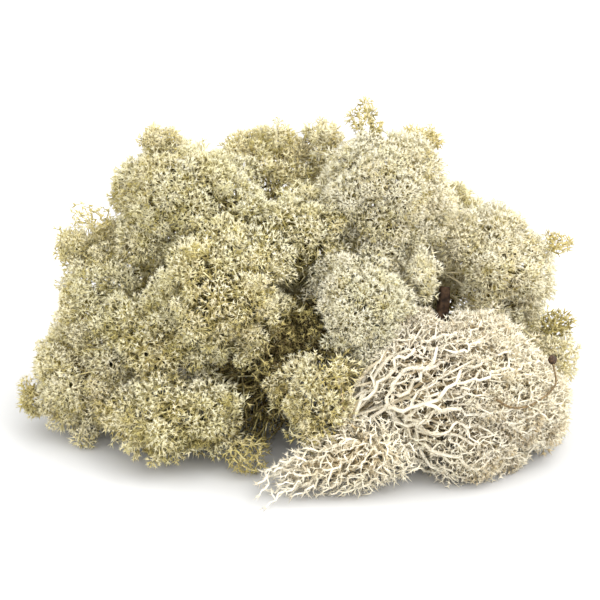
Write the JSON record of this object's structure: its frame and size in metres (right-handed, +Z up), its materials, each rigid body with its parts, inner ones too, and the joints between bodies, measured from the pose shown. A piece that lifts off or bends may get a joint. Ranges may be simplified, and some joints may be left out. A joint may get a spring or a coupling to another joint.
{
  "type": "reindeer lichen clump",
  "caption": "Mound of dried reindeer lichen: rounded cushions of finely forked, star-tipped branches, one lying on its side with its bare stalks showing.",
  "frame": {"origin": "on the surface that the mound rests on, under the middle of its box", "axes": "+X along the mound's length, with the overturned cushion at the +X end, -Y towards the front, +Z up"},
  "size_m": [0.1578, 0.1121, 0.0918],
  "materials": {
    "lichen": "dry matt greenish-cream branch tips, darker olive-brown inside",
    "bleached_lichen": "dry matt bone-white stalks",
    "bark": "dull dark brown bark",
    "bud": "near-black dry bud"
  },
  "bodies": {
    "root": {"cushion_crown_left": "lichen", "cushion_crown_middle": "lichen", "cushion_crown_back": "lichen", "cushion_crown_right": "lichen", "cushion_shoulder_left": "lichen", "cushion_shoulder_right": "lichen", "cushion_flank_left": "lichen", "cushion_centre": "lichen", "cushion_breast_right": "lichen", "cushion_hollow_left": "lichen", "cushion_hollow_middle": "lichen", "cushion_hollow_low": "lichen", "cushion_foot_left": "lichen", "cushion_foot_front_left": "lichen", "cushion_foot_middle": "lichen", "cushion_overturned": "bleached_lichen", "cushion_foot_front_right": "bleached_lichen", "cushion_foot_right": "lichen", "cushion_back_left": "lichen", "cushion_back_middle": "lichen", "cushion_back_right": "lichen", "cushion_foot_back_left": "lichen", "cushion_foot_back_middle": "lichen", "cushion_foot_back_right": "lichen", "cushion_foot_back": "lichen", "tuft_left_upper": "lichen", "tuft_left": "lichen", "tuft_far_left": "lichen", "tuft_top_left": "lichen", "tuft_top_middle": "lichen", "tuft_top": "lichen", "tuft_top_right": "lichen", "tuft_right_upper": "lichen", "tuft_right": "lichen", "tuft_bead": "lichen", "tuft_front_floor": "lichen", "tuft_left_floor": "lichen", "twig": "bark", "needle": "bark", "stalk": "bark", "stalk_bud": "bud"}
  },
  "joints": []
}
